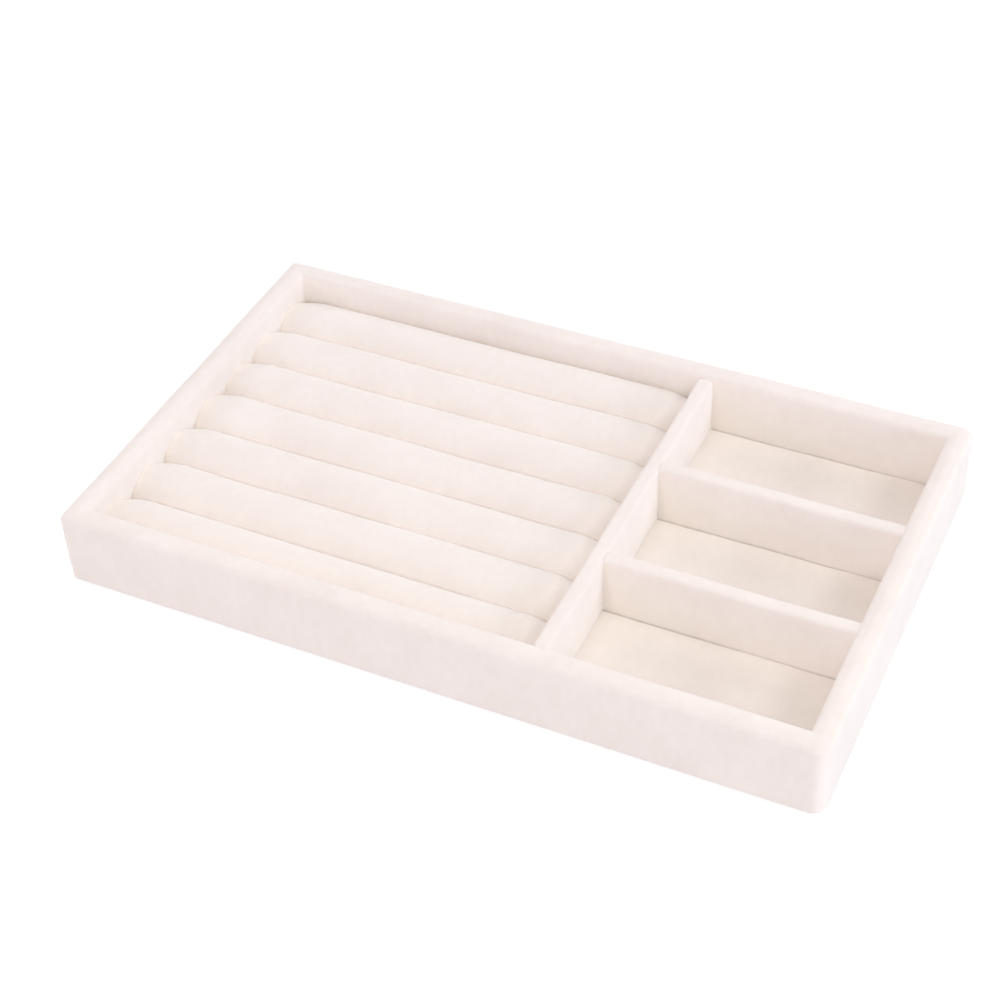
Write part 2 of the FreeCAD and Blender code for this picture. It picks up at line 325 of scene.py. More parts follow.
@dataclass(frozen=True)
class Fibreboard(Finish):
    """Bare medium-density board: brown, finely flecked and slightly cloudy."""

    name: str = "bare_fibreboard"
    dark_fibre: Colour = (0.330, 0.215, 0.120)
    light_fibre: Colour = (0.530, 0.385, 0.245)
    fleck: float = 0.5 * MM
    fleck_stretch: Triple = (2.2, 1.2, 1.0)
    cloud: float = 11 * MM
    fibre_mix: Pair = (0.65, 0.35)
    fibre_range: Pair = (0.33, 0.66)
    roughness: Pair = (0.62, 0.86)
    depth: float = 0.06 * MM
    relief: float = 0.4
    gloss: float = 0.3
    slot: Slot = Slot.FIBREBOARD

    def make(self) -> bpy.types.Material:
        """Makes the board's material.

        Returns:
            The material.
        """
        tree = ShaderTree(self.name)
        flecks = tree.noise(self.fleck, 3.0, self.fleck_stretch)
        cloud = tree.noise(self.cloud, 2.0)
        mass = tree.mixed(*zip((flecks, cloud), self.fibre_mix))
        tree.tint(mass, self.dark_fibre, self.light_fibre, self.fibre_range)
        tree.roughen(flecks, self.roughness)
        tree.raise_by(flecks, self.depth, self.relief)
        tree.plain({"Specular IOR Level": self.gloss})
        return tree.material


@dataclass(frozen=True)
class Greyboard(Finish):
    """Recycled grey card with pale and dark fibres in it."""

    name: str = "greyboard_card"
    dark_fibre: Colour = (0.275, 0.262, 0.238)
    light_fibre: Colour = (0.445, 0.428, 0.395)
    fibre: float = 0.45 * MM
    fibre_stretch: Triple = (3.0, 1.0, 1.0)
    cloud: float = 8 * MM
    fibre_mix: Pair = (0.6, 0.4)
    fibre_range: Pair = (0.34, 0.64)
    roughness: Pair = (0.7, 0.92)
    depth: float = 0.04 * MM
    relief: float = 0.4
    gloss: float = 0.25
    slot: Slot = Slot.CARD

    def make(self) -> bpy.types.Material:
        """Makes the card's material.

        Returns:
            The material.
        """
        tree = ShaderTree(self.name)
        fibres = tree.noise(self.fibre, 3.0, self.fibre_stretch)
        cloud = tree.noise(self.cloud, 2.0)
        pulp = tree.mixed(*zip((fibres, cloud), self.fibre_mix))
        tree.tint(pulp, self.dark_fibre, self.light_fibre, self.fibre_range)
        tree.roughen(fibres, self.roughness)
        tree.raise_by(fibres, self.depth, self.relief)
        tree.plain({"Specular IOR Level": self.gloss})
        return tree.material


@dataclass(frozen=True)
class Foam(Finish):
    """Cream upholstery foam with small open pores, whose darker colour is painted shade."""

    name: str = "roll_foam"
    # painted shade: the darker colour in the pore hollows stands in for the shade inside the pores
    pore_shade: Colour = (0.560, 0.490, 0.330)
    skin: Colour = (0.820, 0.760, 0.600)
    pore_width: float = 0.9 * MM
    pore_range: Pair = (0.32, 0.52)
    roughness: Pair = (0.85, 1.0)
    depth: float = 0.3 * MM
    relief: float = 0.7
    gloss: float = 0.15
    slot: Slot = Slot.FOAM

    def make(self) -> bpy.types.Material:
        """Makes the foam's material.

        Returns:
            The material.
        """
        tree = ShaderTree(self.name)
        pores = tree.noise(self.pore_width, 2.0)
        # the darker pore colour laid where the relief sinks is painted shade
        tree.tint(pores, self.pore_shade, self.skin, self.pore_range)
        tree.roughen(pores, self.roughness)
        tree.raise_by(pores, self.depth, self.relief)
        tree.plain({"Specular IOR Level": self.gloss})
        return tree.material


@dataclass(frozen=True)
class Swell:
    """Slow unevenness of cloth over its backing, a sum of seeded waves."""

    height: float
    length: float
    seed: int
    waves: int = 7
    length_range: Pair = (0.7, 1.6)

    def at(self, places: np.ndarray) -> np.ndarray:
        """Measures the unevenness.

        Args:
            places: positions, with x, y and z in the last axis.

        Returns:
            One height for each position.
        """
        draw = np.random.default_rng(self.seed)
        total = np.zeros(places.shape[:-1])
        for _ in range(self.waves):
            heading = draw.normal(size=3)
            heading /= np.linalg.norm(heading)
            pitch = self.length * draw.uniform(*self.length_range)
            phase = draw.uniform(0.0, 2.0 * math.pi)
            total += np.sin(places @ heading * (2.0 * math.pi / pitch) + phase)
        return self.height * total / math.sqrt(self.waves)


def arc(centre: Point2, radius: float, start: float, end: float, count: int) -> list[Point2]:
    """Lays points on an arc, both ends included.

    Args:
        centre: the arc's centre.
        radius: the arc's radius.
        start: first angle, in degrees.
        end: last angle, in degrees.
        count: how many points.

    Returns:
        The points in order.
    """
    angles = np.radians(np.linspace(start, end, count))
    return [(centre[0] + radius * math.cos(a), centre[1] + radius * math.sin(a)) for a in angles]


def line(start: Point2, end: Point2, step: float) -> list[Point2]:
    """Lays points inside a straight stretch, neither end included.

    Args:
        start: the stretch's first end.
        end: the stretch's last end.
        step: about how far apart the points are.

    Returns:
        The points in order.
    """
    count = max(2, round(math.dist(start, end) / step))
    first, way = np.array(start), np.array(end) - np.array(start)
    return [tuple(first + way * k / count) for k in range(1, count)]


def quarter_round(distance: float, radius: float) -> float:
    """Gives the drop of a quarter round at a distance from the edge that it softens."""
    inside = max(0.0, radius - distance)
    return radius - math.sqrt(max(0.0, radius * radius - inside * inside))


def rounded_plan(half: Pair, radii: Corners, counts: Counts) -> np.ndarray:
    """Lays points round a rectangle with rounded corners.

    Args:
        half: half of its length and half of its width.
        radii: corner radii, from the front right corner round by the rear.
        counts: points inside a long side, inside a short side and in a corner.

    Returns:
        Rows of x and y, from the front side round by the right.
    """
    ways = ((1, -1, -90), (1, 1, 0), (-1, 1, 90), (-1, -1, 180))
    turns = []
    for (right, back, start), radius in zip(ways, radii):
        centre = (right * (half[0] - radius), back * (half[1] - radius))
        turns.append(arc(centre, radius, start, start + 90, counts[2]))
    points: list[Point2] = []
    for number, turn in enumerate(turns):
        last, inside = np.array(turns[number - 1][-1]), counts[number % 2]
        way = np.array(turn[0]) - last
        points += [tuple(last + way * k / (inside + 1)) for k in range(1, inside + 1)]
        points += turn
    return np.array(points)


def loft(name: str, rows: np.ndarray, around: bool, ends: Ends) -> bpy.types.Object:
    """Makes a smooth mesh through rows of points.

    Args:
        name: the piece's name.
        rows: positions by row and column.
        around: whether a row closes on itself.
        ends: how the first and last rows are closed.

    Returns:
        The piece, with its faces looking out.
    """
    row_count, column_count = rows.shape[:2]
    index = np.arange(row_count * column_count).reshape(row_count, column_count)
    faces = []
    for near, far in zip(index[:-1], index[1:]):
        pairs = list(zip(range(column_count - 1), range(1, column_count)))
        if around:
            pairs.append((column_count - 1, 0))
        faces += [(near[a], near[b], far[b], far[a]) for a, b in pairs]
    if ends is Ends.CAPPED:
        faces += [tuple(index[0][::-1]), tuple(index[-1])]
    if ends is Ends.ZIPPED:
        for row, turn in ((index[0], -1), (index[-1], 1)):
            for c in range(column_count // 2 - 1):
                faces.append((row[c], row[c + 1], row[-2 - c], row[-1 - c])[::turn])
    mesh = bpy.data.meshes.new(name)
    corners = [tuple(int(i) for i in face) for face in faces]
    mesh.from_pydata(rows.reshape(-1, 3).tolist(), [], corners)
    highest = max(mesh.polygons, key=lambda face: face.center.z)
    if highest.normal.z < 0:
        mesh.flip_normals()
    mesh.shade_smooth()
    mesh.set_sharp_from_angle(angle=math.radians(SHARP_ANGLE))
    piece = bpy.data.objects.new(name, mesh)
    bpy.context.collection.objects.link(piece)
    return piece


def places_of(mesh: bpy.types.Mesh) -> np.ndarray:
    """Reads the positions of a mesh's vertices.

    Args:
        mesh: the mesh.

    Returns:
        One position in each row.
    """
    places = np.empty(3 * len(mesh.vertices), dtype=np.float32)
    mesh.vertices.foreach_get("co", places)
    return places.reshape(-1, 3).astype(float)


def thicken(piece: bpy.types.Object, skin: float) -> None:
    """Gives an open surface the thickness of its cloth, inwards.

    Args:
        piece: the surface.
        skin: thickness of the cloth.
    """
    cloth = piece.modifiers.new("cloth_thickness", "SOLIDIFY")
    cloth.thickness = skin
    cloth.offset = -1.0
    cloth.use_even_offset = True


def dress(piece: bpy.types.Object, finish: Finish, body: Body, *solids: str) -> None:
    """Gives a piece its finish, sets it on its body and lets it stand for its solids.

    Args:
        piece: the piece.
        finish: its finish.
        body: the body that it rides on.
        solids: the nodes that it stands for.
    """
    piece.data.materials.append(finish.material())
    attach(piece, body.value)
    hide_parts(*solids)
    faces = len(piece.data.polygons)
    log.info("%s: %s on %s, %d faces", piece.name, finish.slot.value, body.value, faces)


@dataclass
class OuterWrap:
    """Velvet drawn over the four wall boards: from under the tray, up, over the rim and down inside."""

    low: Vector
    high: Vector
    wall: float
    inside_foot: float
    corner_radii: Corners = (5.6 * MM, 4.0 * MM, 1.8 * MM, 1.8 * MM)
    inner_corner_radius: float = 0.7 * MM
    rim_radii: Pair = (2.4 * MM, 2.2 * MM)
    rim_crown: float = 0.35 * MM
    fold_radius: float = 1.0 * MM
    skin: float = 0.7 * MM
    step: float = 2.6 * MM
    rim_step: float = 0.6 * MM
    fold_points: int = 5
    rim_points: int = 8
    corner_points: int = 8
    face_swell: Swell = Swell(0.16 * MM, 46 * MM, 11)
    rim_swell: Swell = Swell(0.12 * MM, 60 * MM, 12)
    most_outward: float = 0.2 * MM
    rim_power: int = 3
    flat_size: Pair = (0.080, 0.960)

    def profile(self) -> list[Point2]:
        """Lays out the cloth's path as depth from the outer face and height.

        Returns:
            The path, from the turned-under edge to the foot of the inner face.
        """
        foot, shelf = self.low.z, self.high.z - self.rim_crown
        fold = self.fold_radius
        outer, inner = self.rim_radii
        under = (self.wall, foot)
        path = [under, *line(under, (fold, foot), self.step)]
        path += arc((fold, foot + fold), fold, 270, 180, self.fold_points)
        path += line((0.0, foot + fold), (0.0, shelf - outer), self.step)
        path += arc((outer, shelf - outer), outer, 180, 90, self.rim_points)
        flat = line((outer, shelf), (self.wall - inner, shelf), self.rim_step)
        middle, reach = (outer + self.wall - inner) / 2, (self.wall - inner - outer) / 2
        for depth, _ in flat:
            path.append((depth, shelf + self.rim_crown * (1 - ((depth - middle) / reach) ** 2)))
        path += arc((self.wall - inner, shelf - inner), inner, 90, 0, self.rim_points)
        inner_foot = (self.wall, self.inside_foot)
        path += line((self.wall, shelf - inner), inner_foot, self.step)
        return [*path, inner_foot]

    def rows(self) -> np.ndarray:
        """Sweeps the path round the tray and adds the cloth's slow unevenness.

        Returns:
            Positions by place on the path and place round the tray.
        """
        half = ((self.high.x - self.low.x) / 2, (self.high.y - self.low.y) / 2)
        counts = (round(2 * half[0] / self.step), round(2 * half[1] / self.step), self.corner_points)
        rows = []
        for depth, height in self.profile():
            share = depth / self.wall
            inner = self.inner_corner_radius * share
            radii = tuple(radius * (1 - share) + inner for radius in self.corner_radii)
            plan = rounded_plan((half[0] - depth, half[1] - depth), radii, counts)
            rows.append(np.column_stack([plan, np.full(len(plan), height)]))
        places = np.array(rows)
        rise = (places[..., 2:] - self.low.z) / (self.high.z - self.low.z)
        ahead = np.roll(places, -1, axis=1) - np.roll(places, 1, axis=1)
        outward = np.stack([ahead[..., 1], -ahead[..., 0], np.zeros(ahead.shape[:2])], axis=-1)
        outward /= np.linalg.norm(outward, axis=-1, keepdims=True)
        sway = np.minimum(self.face_swell.at(places), self.most_outward)[..., None]
        lift = self.rim_swell.at(places * (1.0, 1.0, 0.0))[..., None] * (0.0, 0.0, 1.0)
        bulge = np.sin(math.pi * np.clip(rise, 0, 1))
        return places + outward * sway * bulge + lift * rise ** self.rim_power

    def build(self) -> bpy.types.Object:
        """Makes and dresses the wrap.

        Returns:
            The velvet wrap.
        """
        piece = loft("velvet_wrap", self.rows(), True, Ends.OPEN)
        thicken(piece, self.skin)
        dress(piece, Velvet(), Body.TRAY, "outer_wrap")
        return piece


@dataclass
class Divider:
    """Velvet folded over a divider board, down both faces and round its ends."""

    name: str
    low: Vector
    high: Vector
    run: Run
    near_end_round: float
    far_end_round: float
    seed: int
    top_radius: float = 1.5 * MM
    tuck: float = 0.4 * MM
    skin: float = 0.7 * MM
    step: float = 2.4 * MM
    end_zone: float = 5.0 * MM
    body_margin: float = 5.5 * MM
    held_length: float = 12 * MM
    side_points: int = 10
    top_points: int = 7
    end_points: int = 9
    bend_swell: Pair = (0.22 * MM, 70 * MM)
    crest_swell: Pair = (0.16 * MM, 34 * MM)

    def section(self, half_width: float, height: float) -> np.ndarray:
        """Lays out one cut across the divider.

        Args:
            half_width: half of its thickness there.
            height: its height there.

        Returns:
            Rows of offset and height, up the near face, over the top and down the far face.
        """
        radius = min(self.top_radius, half_width)
        sides = self.side_points
        shoulder = height - radius
        up = [(-half_width, shoulder * k / sides) for k in range(sides)]
        top = arc((radius - half_width, shoulder), radius, 180, 90, self.top_points)
        top += arc((half_width - radius, shoulder), radius, 90, 0, self.top_points)
        down = [(half_width, shoulder * k / sides) for k in reversed(range(sides))]
        return np.array(up + top + down)

    def rows(self) -> np.ndarray:
        """Sweeps the cut along the divider, from the tuck at its near end to the one at its far end.

        Returns:
            Positions by place along the divider and place in the cut.
        """
        along, across = self.run.value, 1 - self.run.value
        start, end = self.low[along] - self.tuck, self.high[along] + self.tuck
        middle = (self.low[across] + self.high[across]) / 2
        half_width = (self.high[across] - self.low[across]) / 2
        height = self.high.z - self.low.z
        dense = self.end_zone * (1 - np.cos(np.radians(np.linspace(0, 90, self.end_points))))
        count = round((end - start) / self.step)
        body = np.linspace(start + self.body_margin, end - self.body_margin, count)
        stations = np.concatenate([start + dense, body, (end - dense)[::-1]])
        bend = Swell(*self.bend_swell, self.seed)
        crest = Swell(*self.crest_swell, self.seed + 1)
        rows = []
        for station in stations:
            place = np.zeros(3)
            place[along] = station
            free = min(1.0, (station - start) / self.held_length, (end - station) / self.held_length)
            drop = quarter_round(station - start, self.near_end_round)
            drop += quarter_round(end - station, self.far_end_round)
            cut = self.section(half_width, height - drop + float(crest.at(place)))
            row = np.zeros((len(cut), 3))
            row[:, along] = station
            row[:, across] = middle + cut[:, 0] + float(bend.at(place)) * free * cut[:, 1] / height
            row[:, 2] = self.low.z + cut[:, 1]
            rows.append(row)
        return np.array(rows)

    def build(self) -> bpy.types.Object:
        """Makes and dresses the divider's velvet.

        Returns:
            The velvet cover.
        """
        piece = loft(f"{self.name}_cover", self.rows(), False, Ends.ZIPPED)
        thicken(piece, self.skin)
        dress(piece, Velvet(), Body.TRAY, f"{self.name}_velvet")
        return piece


@dataclass
class FloorPad:
    """Velvet pad on the card floor of a compartment, slightly crowned and spread to the walls."""

    name: str
    low: Vector
    high: Vector
    seed: int
    spread: Sides = (1.0 * MM, 1.0 * MM, 0.9 * MM, 0.22 * MM)
    corner_radius: float = 0.6 * MM
    least_radius: float = 0.3 * MM
    radius_loss: float = 0.2
    edge_radius: float = 0.8 * MM
    edge_points: int = 6
    underside: tuple[Point2, ...] = ((6 * MM, 0.0), (0.5 * MM, 0.0), (0.1 * MM, 0.4 * MM))
    middle_strip: float = 1.5 * MM
    crown: float = 0.25 * MM
    rings: int = 11
    ring_power: float = 1.4
    counts: Counts = (40, 22, 4)
    ripple_swell: Pair = (0.10 * MM, 26 * MM)

    def rows(self) -> np.ndarray:
        """Stacks rounded rectangles from the underside, round the edge and in to the middle of the top.

        Returns:
            Positions by ring and place round the ring, from the middle of the left side.
        """
        left, right, front, rear = self.spread
        low = self.low - Vector((left, front, 0.0))
        high = self.high + Vector((right, rear, 0.0))
        half = ((high.x - low.x) / 2, (high.y - low.y) / 2)
        middle = (low + high) / 2
        edge, foot, top = self.edge_radius, self.low.z, self.high.z
        deepest = min(half) - self.middle_strip
        path = [(deepest, foot)] + [(depth, foot + rise) for depth, rise in self.underside]
        path += arc((edge, top - edge), edge, 180, 90, self.edge_points)
        for ring in range(1, self.rings + 1):
            share = ring / self.rings
            depth = edge + (deepest - edge) * share ** self.ring_power
            path.append((depth, top + self.crown * (1 - (1 - share) ** 2)))
        rows = []
        for depth, height in path:
            radius = max(self.least_radius, self.corner_radius - self.radius_loss * depth)
            plan = rounded_plan((half[0] - depth, half[1] - depth), (radius,) * 4, self.counts)
            plan = np.roll(plan, self.counts[1] // 2 + self.counts[2], axis=0)
            rows.append(np.column_stack([plan + (middle.x, middle.y), np.full(len(plan), height)]))
        places = np.array(rows)
        ripple = Swell(*self.ripple_swell, self.seed).at(places)
        places[..., 2] += np.where(places[..., 2] > top - edge, ripple, 0.0)
        return places

    def build(self) -> bpy.types.Object:
        """Makes and dresses the pad.

        Returns:
            The velvet pad.
        """
        piece = loft(f"{self.name}_floor_pad", self.rows(), True, Ends.ZIPPED)
        dress(piece, Velvet(), Body.TRAY, f"{self.name}_pad_velvet")
        return piece


@dataclass(frozen=True)
class StuffedCloth:
    """Cloth blown tight over its stuffing by a short simulation, whose result stays in the mesh."""

    pressure: float = 4.0
    stiffness: float = 12.0
    enlarge: float = 20.0
    frames: int = 20
    most: float = 0.6 * MM

    def simulate(self, piece: bpy.types.Object, held: np.ndarray) -> np.ndarray:
        """Blows an enlarged copy of a closed piece up from inside, then takes the copy away.

        Args:
            piece: the piece.
            held: which vertices are glued down.

        Returns:
            How far each vertex moves, at the piece's own size.
        """
        scene = bpy.context.scene
        copy = piece.copy()
        copy.data = piece.data.copy()
        copy.data.transform(Matrix.Scale(self.enlarge, 4))
        bpy.context.collection.objects.link(copy)
        glued = copy.vertex_groups.new(name="glued")
        glued.add(np.flatnonzero(held).tolist(), 1.0, "REPLACE")
        cloth = copy.modifiers.new("stuffing", "CLOTH")
        settings = cloth.settings
        settings.vertex_group_mass = glued.name
        settings.use_pressure = True
        settings.uniform_pressure_force = self.pressure
        settings.effector_weights.gravity = 0.0
        settings.tension_stiffness = settings.compression_stiffness = self.stiffness
        cloth.collision_settings.use_collision = False
        cloth.point_cache.frame_start, cloth.point_cache.frame_end = 1, self.frames
        for frame_number in range(1, self.frames + 1):
            scene.frame_set(frame_number)
        blown = copy.evaluated_get(bpy.context.evaluated_depsgraph_get()).data
        move = (places_of(blown) - places_of(copy.data)) / self.enlarge
        mesh = copy.data
        bpy.data.objects.remove(copy)
        bpy.data.meshes.remove(mesh)
        scene.frame_set(1)
        return move

    def blow(self, piece: bpy.types.Object, held: np.ndarray, low: Vector, high: Vector) -> None:
        """Moves a piece's vertices as the simulation did, within a limit and inside their room.

        Args:
            piece: the piece.
            held: which vertices are glued down.
            low: lowest corner of the room.
            high: highest corner of the room.
        """
        move = self.simulate(piece, held)
        longest = float(np.linalg.norm(move, axis=1).max())
        places = np.clip(places_of(piece.data) + move * min(1.0, self.most / longest), low, high)
        piece.data.vertices.foreach_set("co", places.ravel())
        piece.data.update()
        log.info("%s: cloth moves by %.2f mm", piece.name, min(longest, self.most) / MM)


@dataclass
class RingRoll:
    """One roll of the ring insert: a foam core in a velvet sleeve, rounder at both ends."""

    number: int
    low: Vector
    high: Vector
    core_low: Vector
    core_high: Vector
    crown: float = 4.0 * MM
    end_crown: float = 8.0 * MM
    crown_power: float = 1.5
    settle: float = 2.4 * MM
    end_length: float = 13.0 * MM
    end_draw: float = 0.3 * MM
    end_fall: float = 0.7 * MM
    end_round: float = 0.2 * MM
    reach: float = 0.6 * MM
    side_reach: float = 0.1 * MM
    glued_end: float = 0.3 * MM
    foot_radius: float = 2.2 * MM
    foot_share: float = 0.6
    least_side: float = 0.2 * MM
    pleats: int = 9
    pleat_depth: float = 0.1 * MM
    pleat_power: float = 1.5
    crest_swell: Pair = (0.20 * MM, 44 * MM)
    girth_swell: Pair = (0.07 * MM, 38 * MM)
    step: float = 2.6 * MM
    foot_points: int = 8
    corner_points: int = 5
    side_points: int = 4
    crown_points: int = 33
    end_points: int = 15
    end_spacing: float = 1.8
    core_seed: int = 700
    sleeve_seed: tuple[int, int] = (100, 10)
    stuffing: StuffedCloth = StuffedCloth()

    def section(self, half_width: float, height: float, crown: float) -> np.ndarray:
        """Lays out one cut across the roll.

        Args:
            half_width: half of its width there.
            height: its height there.
            crown: how much of that height is rounded.

        Returns:
            Rows of offset and height, round the foot, up a side, over the crown and down.
        """
        foot = min(self.foot_radius, self.foot_share * half_width)
        shoulder = max(height - crown, foot + self.least_side)
        flat, rise = half_width - foot, (shoulder - foot) / self.side_points
        cut = [(-flat + 2 * flat * k / self.foot_points, 0.0) for k in range(self.foot_points)]
        cut += arc((flat, foot), foot, -90, 0, self.corner_points)
        cut += line((half_width, foot), (half_width, shoulder), rise)
        for angle in np.radians(np.linspace(0, 180, self.crown_points)):
            across, upward = math.cos(angle), max(0.0, math.sin(angle)) ** self.crown_power
            cut.append((half_width * across, shoulder + (height - shoulder) * upward))
        cut += line((-half_width, shoulder), (-half_width, foot), rise)
        cut += arc((-flat, foot), foot, 180, 270, self.corner_points)[:-1]
        return np.array(cut)

    def rows(self, low: Vector, high: Vector, seed: int) -> np.ndarray:
        """Sweeps the cut along the roll and rounds the ends.

        Args:
            low: lowest corner of the room that the roll fills.
            high: highest corner of that room.
            seed: seed of its unevenness.

        Returns:
            Positions by place along the roll and place in the cut.
        """
        middle = (low.y + high.y) / 2
        half_width, height = (high.y - low.y) / 2, high.z - low.z - self.settle
        start, end = low.x - self.reach, high.x + self.reach
        dense = self.end_length * np.linspace(0.0, 1.0, self.end_points) ** self.end_spacing
        count = round((end - start) / self.step)
        body = np.linspace(start + self.end_length, end - self.end_length, count)
        stations = np.concatenate([start + dense, body[1:-1], (end - dense)[::-1]])
        crest = Swell(*self.crest_swell, seed)
        girth = Swell(*self.girth_swell, seed + 1)
        rows = []
        for station in stations:
            place = np.array([station, middle, 0.0])
            from_end = min(station - start, end - station)
            inside = max(0.0, 1 - from_end / self.end_length)
            drop = quarter_round(from_end, self.end_round)
            cut = self.section(
                half_width - self.end_draw * inside ** 2 - drop + float(girth.at(place)),
                height - self.end_fall * inside ** 2 - drop + float(crest.at(place)),
                self.crown + (self.end_crown - self.crown) * inside ** 2,
            )
            spin = np.arctan2(cut[:, 0], cut[:, 1] - height / 2)
            pleat = self.pleat_depth * inside ** self.pleat_power
            gather = 1 - pleat * (1 + np.cos(self.pleats * spin + seed)) / half_width
            sides, heights = middle + cut[:, 0] * gather, low.z + cut[:, 1] * gather
            rows.append(np.column_stack([np.full(len(cut), station), sides, heights]))
        return np.array(rows)

    def build(self) -> list[bpy.types.Object]:
        """Makes and dresses the foam core and its velvet sleeve.

        Returns:
            The core and the sleeve.
        """
        core_rows = self.rows(self.core_low, self.core_high, self.core_seed)
        core = loft(f"ring_roll_foam_{self.number}", core_rows, True, Ends.CAPPED)
        dress(core, Foam(), Body.RING_INSERT, f"ring_roll_core_{self.number}")
        first, step = self.sleeve_seed
        sleeve_rows = self.rows(self.low, self.high, first + step * self.number)
        sleeve = loft(f"ring_roll_sleeve_{self.number}", sleeve_rows, True, Ends.CAPPED)
        room = Vector((self.reach, self.side_reach, 0.0))
        places = places_of(sleeve.data)
        middle, half = (self.low.x + self.high.x) / 2, (self.high.x - self.low.x) / 2
        held = places[:, 2] < self.low.z + self.foot_radius
        held |= np.abs(places[:, 0] - middle) > half + self.glued_end
        self.stuffing.blow(sleeve, held, self.low - room, self.high + room)
        dress(sleeve, Velvet(), Body.RING_INSERT, f"ring_roll_velvet_{self.number}")
        return [core, sleeve]


@dataclass
class BaseSheet:
    """Felt glued under the tray over the velvet's turned-under edges."""

    low: Vector
    high: Vector
    corner_radius: float = 4.0 * MM
    least_radius: float = 1.0 * MM
    edge: float = 0.15 * MM
    middle_strip: float = 4 * MM
    counts: Counts = (60, 36, 6)

    def build(self) -> bpy.types.Object:
        """Makes and dresses the felt.

        Returns:
            The base sheet.
        """
        half = ((self.high.x - self.low.x) / 2, (self.high.y - self.low.y) / 2)
        deepest = min(half) - self.middle_strip
        foot, top = self.low.z, self.high.z
        path = [(deepest, foot), (deepest / 2, foot), (self.edge, foot), (0.0, foot + self.edge)]
        path += [(0.0, top - self.edge), (self.edge, top), (deepest / 2, top), (deepest, top)]
        rows = []
        for depth, height in path:
            radius = max(self.least_radius, self.corner_radius - depth)
            plan = rounded_plan((half[0] - depth, half[1] - depth), (radius,) * 4, self.counts)
            rows.append(np.column_stack([plan, np.full(len(plan), height)]))
        piece = loft("felt_base_sheet", np.array(rows), True, Ends.CAPPED)
        dress(piece, Felt(), Body.TRAY, "base_sheet")
        return piece


@dataclass
class Carcass:
    """Boards and cards that the velvet hides, which keep their own solids."""

    boards: tuple[str, ...] = (
        "base_board", "front_wall_board", "rear_wall_board", "left_wall_board", "right_wall_board",
        "long_divider_board", "front_cross_board", "rear_cross_board",
    )
    cards: tuple[str, ...] = ("front_pad_card", "middle_pad_card", "rear_pad_card", "ring_insert_card")

    def dress(self) -> None:
        """Gives the boards and cards their finishes."""
        for names, finish in ((self.boards, Fibreboard()), (self.cards, Greyboard())):
            for name in names:
                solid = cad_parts[name]
                solid.data.materials.clear()
                solid.data.materials.append(finish.material())
                log.info("%s: %s", name, finish.slot.value)


@dataclass(frozen=True)
class Lamp:
    """Square soft lamp that looks at the tray."""

    name: str
    place: Place
    size: float
    power: float
    tint: Tint

    def hang(self) -> None:
        """Hangs the lamp."""
        lamp = bpy.data.lights.new(self.name, "AREA")
        lamp.shape = "SQUARE"
        lamp.size = self.size
        lamp.energy = self.power
        lamp.color = self.tint.value
        holder = bpy.data.objects.new(self.name, lamp)
        holder.location = self.place
        holder.rotation_euler = (-Vector(self.place)).to_track_quat("-Z", "Y").to_euler()
        bpy.context.collection.objects.link(holder)
        log.info("%s: %.1f W", self.name, self.power)


